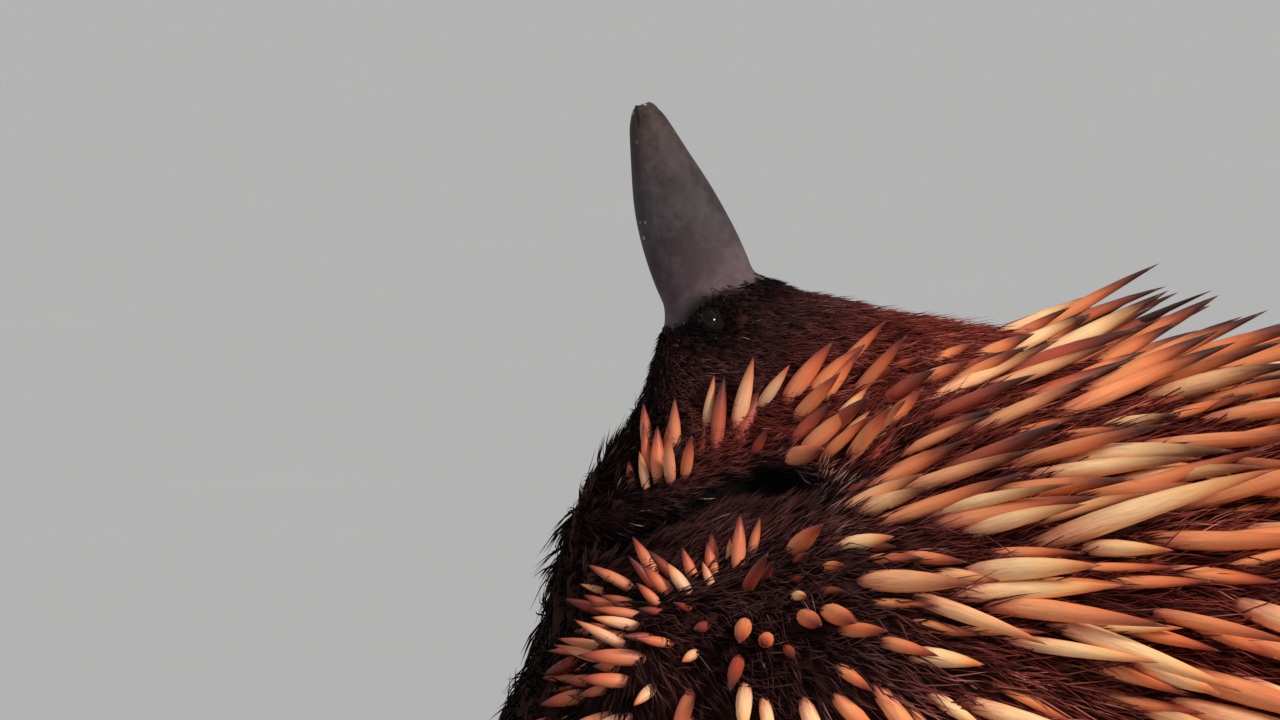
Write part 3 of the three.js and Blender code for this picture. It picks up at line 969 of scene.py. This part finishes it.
def hair_paths(roots, normals, length, rings):
    """One path for each hair of each tuft. The hairs of a tuft start apart and draw together."""
    count = len(roots)
    shape = (count, STRANDS, 1)
    lie = fur_lie(roots, normals)
    across = unit(np.cross(normals, lie))
    whorl = at_whorl(roots, 16)
    spacing = np.sqrt(1 / fur_density(roots, normals).clip(0.02, 4))[:, None, None]
    swing = rng.normal(0, 0.15, (count, 1, 1))
    lift = np.interp(length, (2, 4, 9, 14), (0.7, 0.5, 0.45, 0.38)) + rng.normal(0, 0.09, count)
    lift = (lift + 0.2 * whorl)[:, None, None]
    side = rng.uniform(-0.55, 0.55, shape) * spacing
    ahead = rng.uniform(-0.55, 0.55, shape) * spacing
    swing = swing + rng.normal(0, 1, shape) * (0.13 + 0.45 * whorl[:, None, None])
    lift = lift + rng.normal(0, 0.09, shape)
    reach = length[:, None, None] * rng.uniform(0.68, 1.15, shape)
    steps = np.append(rings, 1.0)
    sideways = side - 0.45 * side * steps + reach * swing * steps ** 1.3
    curl = rng.normal(0, 0.05, shape) * reach * np.sin(steps * 4.5)
    high = reach * (lift * steps - 0.24 * steps ** 2)
    start, ahead_way, side_way, out_way = (v[:, None, None] for v in (roots, lie, across, normals))
    path = (start + ahead[..., None] * ahead_way + (reach * steps)[..., None] * ahead_way
            + (sideways + curl)[..., None] * side_way + (high - HAIR_SINK)[..., None] * out_way)
    path[..., 2] = np.maximum(path[..., 2], 0.5)
    return path.reshape(-1, len(steps), 3), np.repeat(across, STRANDS, axis=0)


def build_fur_pieces(word, roots, normals, length, material):
    """The tufts of one kind, in pieces that each hold tufts from all over the body."""
    rings, taper, pieces = HAIR_SHAPES[word]
    count = len(roots)
    hairs = count * STRANDS
    path, across = hair_paths(roots, normals, length, rings)
    own = np.repeat(roots, STRANDS, axis=0)
    radius = (fur_width(own) * rng.uniform(0.7, 1.25, hairs))[:, None] * taper
    tone = np.repeat(rng.random(count), STRANDS) * 0.58 + rng.random(hairs) * 0.24 + 0.06
    to_end = np.linalg.norm(own[:, 1:] - SLIT_END, axis=1)
    pale = 0.005 + 0.5 * hill(to_end, 4.5)
    tone = np.where(rng.random(hairs) < pale, PALE_TONE, tone)
    # Fur on the lower flank is raised in tone, so paler: painted light, as the lamps reach the lower
    # flank less
    painted_light_on_flank = ease(own[:, 1], 20, 50) * fade(height_share(own), 0.6, 0.85)
    layers = {
        "tone": np.where(tone < 1, tone + 0.16 * painted_light_on_flank, tone),
        # face holds the fur's own dark colour, with painted shade round the eye, on the throat, by the
        # ear slit and at the whorl
        "face": dark_and_shaded_fur(own),
        "under": fade(height_share(own), 0.05, 0.35),
    }
    fold = np.append(np.tile([-0.42, 0.42, 0.0], len(rings)), 0.0)
    column = (np.tile(np.arange(STRANDS), count) + 0.5) / STRANDS - 0.5
    build_strands([f"fur_{word}_{k + 1}" for k in range(pieces)],
                  np.repeat(rng.permutation(count) % pieces, STRANDS), own,
                  tubes(path, across, radius, HAIR_SIDES), rings, HAIR_SIDES,
                  column[:, None] + fold / STRANDS, layers, material, "fur")


def build_fur(skin, material):
    roots, normals = scatter(skin, fur_density, FUR_SPACING)
    length = fur_length(roots) * rng.uniform(0.85, 1.15, len(roots))
    is_long = length > LONG_HAIR
    for word, mine in (("short", ~is_long), ("long", is_long)):
        build_fur_pieces(word, roots[mine], normals[mine], length[mine], material)


# Eyes and claws

def build_eye(word, side, material):
    middle, look, along, over = eye_frame(side)
    rings, sides = 20, 32
    tilt = np.linspace(0.04, 0.78, rings)[::-1] * np.pi
    radius = EYE_RADIUS * (1 + CORNEA * np.exp(-(tilt / 0.62) ** 4))
    wide = radius * np.sin(tilt)
    path = middle + (radius * np.cos(tilt))[:, None] * look
    c, s = circle(sides)
    points = path[:, None] + wide[:, None, None] * (c[:, None] * along + s[:, None] * over)
    verts = np.vstack([points.reshape(-1, 3), middle + look * EYE_RADIUS * (1 + CORNEA)])
    obj = mesh_object(f"eyeball_{word}", verts, tube_faces(rings, sides))
    add_layer(obj, "ring", np.append(np.repeat(wide, sides), 0.0) / EYE_RADIUS)
    c, s = np.append(np.tile(c, rings), 1.0), np.append(np.tile(s, rings), 0.0)
    add_layer(obj, "spoke", np.stack([c, s, 0 * c], -1))
    finish_piece(obj, material, "eye", f"eye_{word}")


def build_claw(limb, number, claw, material):
    name, word, wide = limb.name, limb.word, claw[3]
    path, shares, _, across = claw_path(limb, claw)
    rings, tip = len(path), path[-1]
    taper = np.interp(shares, (-0.3, 0, 0.35, 0.7, 1.0, CLAW_END), (0.95, 1.0, 0.98, 0.8, 0.46, 0.1))
    tangent = unit(np.gradient(path, axis=0))
    upward = unit(np.cross(across, tangent))
    upward = np.where(upward[:, 2:] < 0, -upward, upward)
    c, s = circle(CLAW_SIDES)
    rise = np.where(s > 0, 2.0, 1.35) * s
    points = path[:, None] + taper[:, None, None] * (
        (wide * c)[:, None] * across + rise[:, None] * upward[:, None])
    verts = np.vstack([points.reshape(-1, 3), tip + tangent[-1] * 0.35])
    verts[:, 2] = np.maximum(verts[:, 2], 0.1)
    tris = tube_faces(rings, CLAW_SIDES)
    if np.dot(np.cross(across, upward[0]), tangent[0]) < 0:
        tris = tris[:, ::-1]
    obj = mesh_object(f"claw_{name}_{word}_{number}", verts, tris)
    along = np.repeat(shares, CLAW_SIDES)
    add_layer(obj, "along", np.append(along, CLAW_END))
    c, s = np.append(np.tile(c, rings), 1.0), np.append(np.tile(s, rings), 0.0)
    add_layer(obj, "ridge", np.stack([c * wide, s * 2, np.append(along, 1) * 2], -1) + 7 * number)
    finish_piece(obj, material, "claw", f"{name}_claw_{word}_{number}")


# Materials

ROUGHNESS = 0.55  # of every noise


class Paint:
    """A material and short ways to add nodes to it."""

    def __init__(self, name):
        self.material = bpy.data.materials.new(name)
        self.material.use_nodes = True
        self.tree = self.material.node_tree
        self.shader = self.tree.nodes["Principled BSDF"]

    def feed(self, socket, given):
        """Links a socket to another one, or sets it to a number or a colour."""
        if isinstance(given, bpy.types.NodeSocket):
            self.tree.links.new(given, socket)
        else:
            socket.default_value = (*given, 1) if isinstance(given, tuple) else given

    def node(self, kind, inputs, **settings):
        made = self.tree.nodes.new("ShaderNode" + kind)
        for key, value in settings.items():
            setattr(made, key, value)
        for key, given in inputs.items():
            self.feed(made.inputs[key], given)
        return made

    def layer(self, name, output="Fac"):
        return self.node("Attribute", {}, attribute_name=name).outputs[output]

    def place(self):
        return self.node("TexCoord", {}).outputs["Object"]

    def noise(self, where, scale, detail):
        inputs = {"Vector": where, "Scale": scale, "Detail": detail, "Roughness": ROUGHNESS}
        return self.node("TexNoise", inputs).outputs["Fac"]

    def cells(self, where, scale):
        return self.node("TexVoronoi", {"Vector": where, "Scale": scale}).outputs["Distance"]

    def ramp(self, source, *stops):
        """A colour for each number. A stop is its place from 0 to 1, and red, green and blue."""
        made = self.node("ValToRGB", {"Fac": source})
        elements = made.color_ramp.elements
        while len(elements) < len(stops):
            elements.new(0.5)
        for element, (position, *colour) in zip(elements, stops):
            element.position = position
            element.color = (*colour, 1)
        return made.outputs["Color"]

    def level(self, source, low, high, start=0.0, end=1.0):
        inputs = {"Value": source, "From Min": low, "From Max": high, "To Min": start, "To Max": end}
        return self.node("MapRange", inputs).outputs["Result"]

    def vary(self, noise, start, end):
        """Numbers that follow a noise from start to end, over the range it mostly has."""
        return self.level(noise, 0.3, 0.7, start, end)

    def mix(self, share, a, b, blend="MIX"):
        inputs = {0: share, 6: a, 7: b}
        return self.node("Mix", inputs, data_type="RGBA", blend_type=blend).outputs[2]

    def times(self, a, b):
        return self.mix(1.0, a, b, "MULTIPLY")

    def over(self, look, *layers):
        """Lays more colours over a first one, each by its share."""
        for share, colour in layers:
            look = self.mix(share, look, colour)
        return look

    def math(self, operation, *given):
        return self.node("Math", dict(enumerate(given)), operation=operation).outputs[0]

    def bump(self, height, distance, strength):
        made = self.node("Bump", {"Strength": strength, "Distance": distance, "Height": height})
        self.feed(self.shader.inputs["Normal"], made.outputs["Normal"])

    def finish(self, colour, roughness, **numbers):
        """Feeds the shader's own sockets and gives the material."""
        for name, given in {"Base_Color": colour, "Roughness": roughness, **numbers}.items():
            self.feed(self.shader.inputs[name.replace("_", " ")], given)
        return self.material


def spine_material():
    paint = Paint("spine_horn")
    tone = paint.layer("tone")
    streaks = paint.noise(paint.layer("grain", "Vector"), 1.6, 4)
    shifted = paint.math("ADD", paint.layer("along"), paint.vary(streaks, -0.05, 0.05))
    cream = paint.ramp(shifted, (0, 0.3, 0.09, 0.05), (0.14, 0.66, 0.27, 0.16),
                       (0.32, 0.92, 0.53, 0.28), (0.5, 0.95, 0.6, 0.31), (0.7, 0.91, 0.48, 0.2),
                       (0.88, 0.66, 0.2, 0.065), (0.98, 0.2, 0.04, 0.018))
    orange = paint.ramp(shifted, (0, 0.22, 0.05, 0.032), (0.13, 0.62, 0.18, 0.1),
                        (0.32, 0.8, 0.29, 0.118), (0.6, 0.7, 0.185, 0.066),
                        (0.82, 0.32, 0.05, 0.022), (0.97, 0.05, 0.011, 0.008))
    rust = paint.ramp(shifted, (0, 0.12, 0.024, 0.016), (0.2, 0.4, 0.08, 0.045),
                      (0.5, 0.36, 0.06, 0.028), (0.78, 0.14, 0.024, 0.014),
                      (0.95, 0.02, 0.007, 0.006))
    black = paint.ramp(shifted, (0, 0.07, 0.018, 0.012), (0.5, 0.035, 0.012, 0.009),
                       (1, 0.012, 0.006, 0.005))
    darker = paint.math("MULTIPLY_ADD", paint.layer("head"), 0.22, tone)
    # Spines at the whorl shift towards orange and rust: painted shade, since the whorl faces forward and
    # down
    darker = paint.math("MULTIPLY_ADD", paint.layer("whorl"), 0.18, darker)
    tips = paint.math("MULTIPLY", paint.layer("back"), paint.level(shifted, 0.52, 0.84))
    look = paint.over(cream, (paint.level(darker, 0.38, 0.52), orange),
                      (paint.level(darker, 0.8, 0.93), rust), (tips, (0.045, 0.012, 0.009)),
                      (paint.level(tone, BLACK_TONE, BLACK_TONE + 0.005), black))
    # Spines on the face are darkened and reddened: painted shade on the front of the head
    look = paint.mix(paint.layer("face"), look, paint.times(look, (0.74, 0.66, 0.76)))
    look = paint.times(look, paint.level(streaks, 0.25, 0.75, 0.8, 1.14))
    paint.bump(streaks, 0.0003, 0.5)
    return paint.finish(look, paint.vary(streaks, 0.4, 0.58), Specular_IOR_Level=0.35,
                        Subsurface_Weight=0.06, Subsurface_Scale=0.002)


def fur_material():
    paint = Paint("fur_brown")
    patch = paint.noise(paint.place(), 42, 3)
    tone = paint.math("ADD", paint.layer("tone"), paint.vary(patch, -0.18, 0.18))
    body = paint.ramp(tone, (0, 0.034, 0.006, 0.005), (0.4, 0.1, 0.017, 0.013),
                      (0.75, 0.2, 0.036, 0.027), (0.98, 0.45, 0.15, 0.1))
    face = paint.ramp(tone, (0, 0.002, 0.0012, 0.0016), (0.6, 0.0062, 0.003, 0.0034),
                      (0.93, 0.019, 0.009, 0.009), (1, 0.3, 0.22, 0.2))
    belly = paint.ramp(tone, (0, 0.05, 0.02, 0.014), (0.6, 0.13, 0.055, 0.035),
                       (1, 0.3, 0.16, 0.1))
    dull = paint.ramp(tone, (0, 0.018, 0.006, 0.006), (0.4, 0.045, 0.016, 0.0162),
                      (0.75, 0.076, 0.029, 0.029), (0.98, 0.15, 0.077, 0.074))
    # The face layer darkens the fur towards the near-black ramp: dark fur, and painted shade round the
    # eye, on the throat, by the ear slit and at the whorl
    share = paint.layer("face")
    look = paint.over(body, (paint.level(share, 0, 0.5), dull), (paint.level(share, 0.5, 1), face),
                      (paint.layer("under"), belly))
    # Hairs darken towards their roots as painted shade between them, and lighten towards their tips
    look = paint.times(look, paint.level(paint.layer("along"), 0.0, 0.8, 0.52, 1.08))
    return paint.finish(look, paint.vary(patch, 0.58, 0.74), Specular_IOR_Level=0.05)


def skin_material():
    paint = Paint("skin")
    where = paint.place()
    broad = paint.noise(where, 60, 4)
    fine = paint.noise(where, 420, 4)
    share = paint.layer("beak")
    under_fur = paint.ramp(broad, (0.3, 0.012, 0.004, 0.004), (0.7, 0.036, 0.01, 0.008))
    mottled = paint.math("ADD", broad, paint.vary(fine, -0.12, 0.12))
    base = paint.ramp(mottled, (0.3, 0.057, 0.037, 0.044), (0.52, 0.09, 0.062, 0.07),
                      (0.75, 0.128, 0.093, 0.099))
    slate = paint.ramp(mottled, (0.3, 0.03, 0.0235, 0.027), (0.52, 0.051, 0.042, 0.047),
                       (0.75, 0.075, 0.064, 0.069))
    tip = paint.ramp(fine, (0.3, 0.024, 0.016, 0.016), (0.7, 0.06, 0.041, 0.038))
    specks = paint.level(paint.cells(where, 260), 0.13, 0.07)
    pale = paint.math("MULTIPLY", specks, paint.level(broad, 0.47, 0.57))
    beak = paint.over(base, (paint.level(share, 0.05, 0.4), slate),
                      (paint.level(share, 0.55, 0.95), tip), (pale, (0.34, 0.28, 0.24)))
    foot = paint.ramp(fine, (0.3, 0.035, 0.02, 0.017), (0.7, 0.11, 0.068, 0.055))
    # Over the skin's own colours: near-black painted shade in the ear slit, the mouth and the nostrils,
    # and dark lid skin darkened further as painted shade round the eyes
    look = paint.over(under_fur, (paint.layer("bare"), beak), (paint.layer("foot"), foot),
                      (paint.layer("dark"), (0.004, 0.0025, 0.003)))
    rough = paint.mix(paint.layer("bare"), (0.9, 0.9, 0.9), paint.vary(fine, 0.54, 0.74))
    paint.bump(paint.math("MULTIPLY_ADD", paint.cells(where, 900), 0.5, fine), 0.0002, 0.5)
    return paint.finish(look, rough, Specular_IOR_Level=0.1)


def horn_material():
    paint = Paint("claw_horn")
    ridges = paint.noise(paint.layer("ridge", "Vector"), 1.4, 4)
    dark = paint.ramp(paint.layer("along"), (0, 0.05, 0.034, 0.028), (0.5, 0.1, 0.07, 0.052),
                      (0.85, 0.24, 0.17, 0.115), (1, 0.34, 0.26, 0.18))
    soil = paint.noise(paint.place(), 240, 4)
    look = paint.times(dark, paint.vary(ridges, 0.7, 1.2))
    look = paint.mix(paint.level(soil, 0.56, 0.68, 0, 0.7), look, (0.06, 0.03, 0.02))
    paint.bump(ridges, 0.0004, 0.6)
    return paint.finish(look, paint.vary(soil, 0.28, 0.6), Specular_IOR_Level=0.5)


def eye_material():
    paint = Paint("eye_gloss")
    ring = paint.layer("ring")
    spokes = paint.noise(paint.layer("spoke", "Vector"), 7, 3)
    iris = paint.ramp(spokes, (0.3, 0.004, 0.0025, 0.002), (0.7, 0.012, 0.006, 0.004))
    look = paint.over((0.0015, 0.0015, 0.002), (paint.level(ring, 0.28, 0.33), iris),
                      (paint.level(ring, 0.58, 0.7), (0.004, 0.003, 0.004)))
    return paint.finish(look, paint.vary(spokes, 0.06, 0.12), Specular_IOR_Level=0.03,
                        Coat_Weight=0.22, Coat_Roughness=0.02)


def floor_material():
    paint = Paint("studio_floor")
    grain = paint.noise(paint.place(), 6, 3)
    look = paint.ramp(grain, (0.3, 0.392, 0.407, 0.429), (0.7, 0.402, 0.417, 0.439))
    return paint.finish(look, paint.vary(grain, 0.7, 0.8), Specular_IOR_Level=0.2)


# Stage

def add_floor():
    mesh = bpy.data.meshes.new("floor")
    reach = 60.0
    corners = [(-reach, -reach, 0), (reach, -reach, 0), (reach, reach, 0), (-reach, reach, 0)]
    mesh.from_pydata(corners, [], [(0, 1, 2, 3)])
    mesh.materials.append(floor_material())
    new_object("floor", mesh)


def turned_to(obj, back):
    """Turns a lamp or a camera to look against the given way."""
    obj.rotation_mode = "QUATERNION"
    obj.rotation_quaternion = Vector(back).to_track_quat("Z", "Y")


def add_sun(name, back, strength, colour, softness):
    light = bpy.data.lights.new(name, "SUN")
    light.energy = strength
    light.color = colour
    light.angle = math.radians(softness)
    turned_to(new_object(name, light), back)


def add_lights():
    world = bpy.data.worlds.new("studio")
    bpy.context.scene.world = world
    world.use_nodes = True
    background = world.node_tree.nodes["Background"]
    background.inputs["Color"].default_value = (1.0, 0.99, 0.98, 1)
    background.inputs["Strength"].default_value = 0.52
    add_sun("key", (0.82, 0.84, 0.6), 3.95, (1.0, 0.93, 0.84), 12)
    add_sun("fill", (0.3, -0.9, 0.5), 0.15, (0.95, 0.97, 1.0), 40)


def add_camera():
    a, e = math.radians(VIEW_AZIMUTH), math.radians(VIEW_ELEVATION)
    back = Vector((math.sin(a) * math.cos(e), -math.cos(a) * math.cos(e), math.sin(e)))
    right = Vector((math.cos(a), math.sin(a), 0))
    across = (IMAGE_SIZE[0] / 2 - BEAK_BASE_PIXEL[0]) / PIXELS_PER_MM
    rise = (BEAK_BASE_PIXEL[1] - IMAGE_SIZE[1] / 2) / PIXELS_PER_MM
    target = Vector(to_frame(BEAK_BASE)) + (right * across + back.cross(right) * rise) * MM
    lens = bpy.data.cameras.new("camera")
    lens.sensor_width = SENSOR_WIDTH
    lens.lens = PIXELS_PER_MM * CAMERA_DISTANCE / IMAGE_SIZE[0] * SENSOR_WIDTH
    lens.clip_end = 100
    camera = new_object("camera", lens)
    camera.location = target + back * CAMERA_DISTANCE * MM
    turned_to(camera, back)
    bpy.context.scene.camera = camera


def add_skin():
    p, normals, tris, groove, mouth = build_skin()
    obj = mesh_object("skin", p, tris)
    # Near the eyes the lid skin is dark, and darkened further as painted shade round the eye
    lids = 0.95 * fade(from_eye(p), 4.5, 8.5)
    add_layer(obj, "beak", np.clip(beak_place(p)[0], 0, 1))
    add_layer(obj, "bare", ease(past_fur(p), -0.04, 0.03))
    add_layer(obj, "foot", fade(p[:, 2], 14, 26))
    # dark: near-black painted shade in the ear slit, the mouth and the nostrils, together with the lids
    add_layer(obj, "dark", np.clip(ease(groove, 0.1, 0.6) + 0.6 * mouth + lids, 0, 1))
    nodes = ["trunk", "neck", "head", "beak", "lower_jaw", "tail"]
    for word, _ in SIDES:
        nodes += [f"ear_{word}"]
        nodes += [f"{name}_{part}_{word}" for name in ("fore", "hind") for part in ("leg", "foot")]
    finish_piece(obj, skin_material(), "bare_skin", *nodes)
    return p, normals, tris


def main():
    add_camera()
    add_floor()
    add_lights()
    bpy.context.scene.view_settings.view_transform = "Standard"
    skin = add_skin()
    eye = eye_material()
    for word, side in SIDES:
        build_eye(word, side, eye)
    horn = horn_material()
    for limb in LIMBS:
        for number, claw in enumerate(limb.claws, 1):
            build_claw(limb, number, claw, horn)
    build_spines(skin, spine_material())
    build_fur(skin, fur_material())


main()
